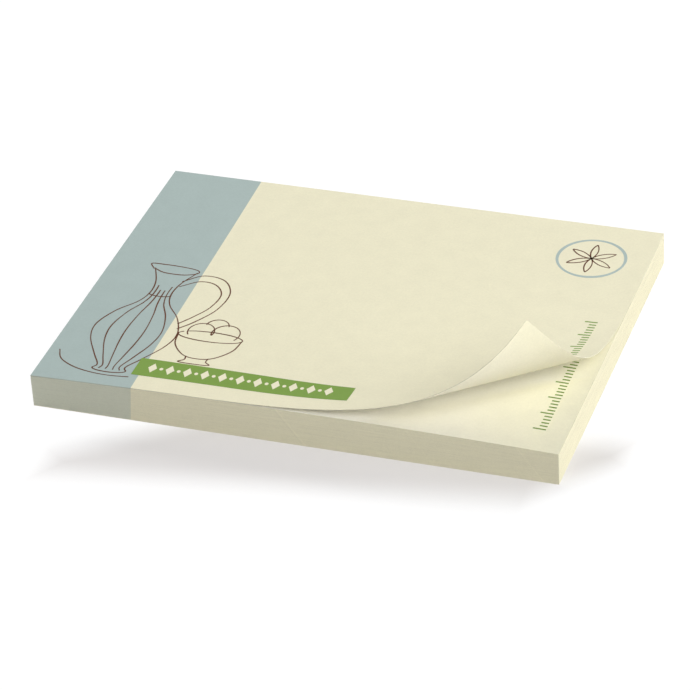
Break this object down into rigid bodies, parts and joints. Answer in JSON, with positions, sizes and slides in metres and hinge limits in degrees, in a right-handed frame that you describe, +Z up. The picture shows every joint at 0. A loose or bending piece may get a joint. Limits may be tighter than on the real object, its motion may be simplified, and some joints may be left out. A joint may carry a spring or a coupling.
{
  "type": "sticky note pad",
  "caption": "Flat pad of gummed paper notes with a tinted side band; the top note's front right corner curls up and over.",
  "frame": {"origin": "middle of the pad's underside, on the surface it lies on", "axes": "+X to the right along the long edges, +Y back to the gummed edge, +Z up; the curled corner is at +X, -Y"},
  "size_m": [0.1, 0.075, 0.0268],
  "materials": {
    "note_paper": "uncoated, matte",
    "release_paper": "smooth release coat on one side",
    "gum": "soft, tacky"
  },
  "bodies": {
    "root": {"backing_sheet": "release_paper", "note_block": "note_paper", "adhesive_strip": "gum", "top_note": "note_paper"}
  },
  "joints": []
}
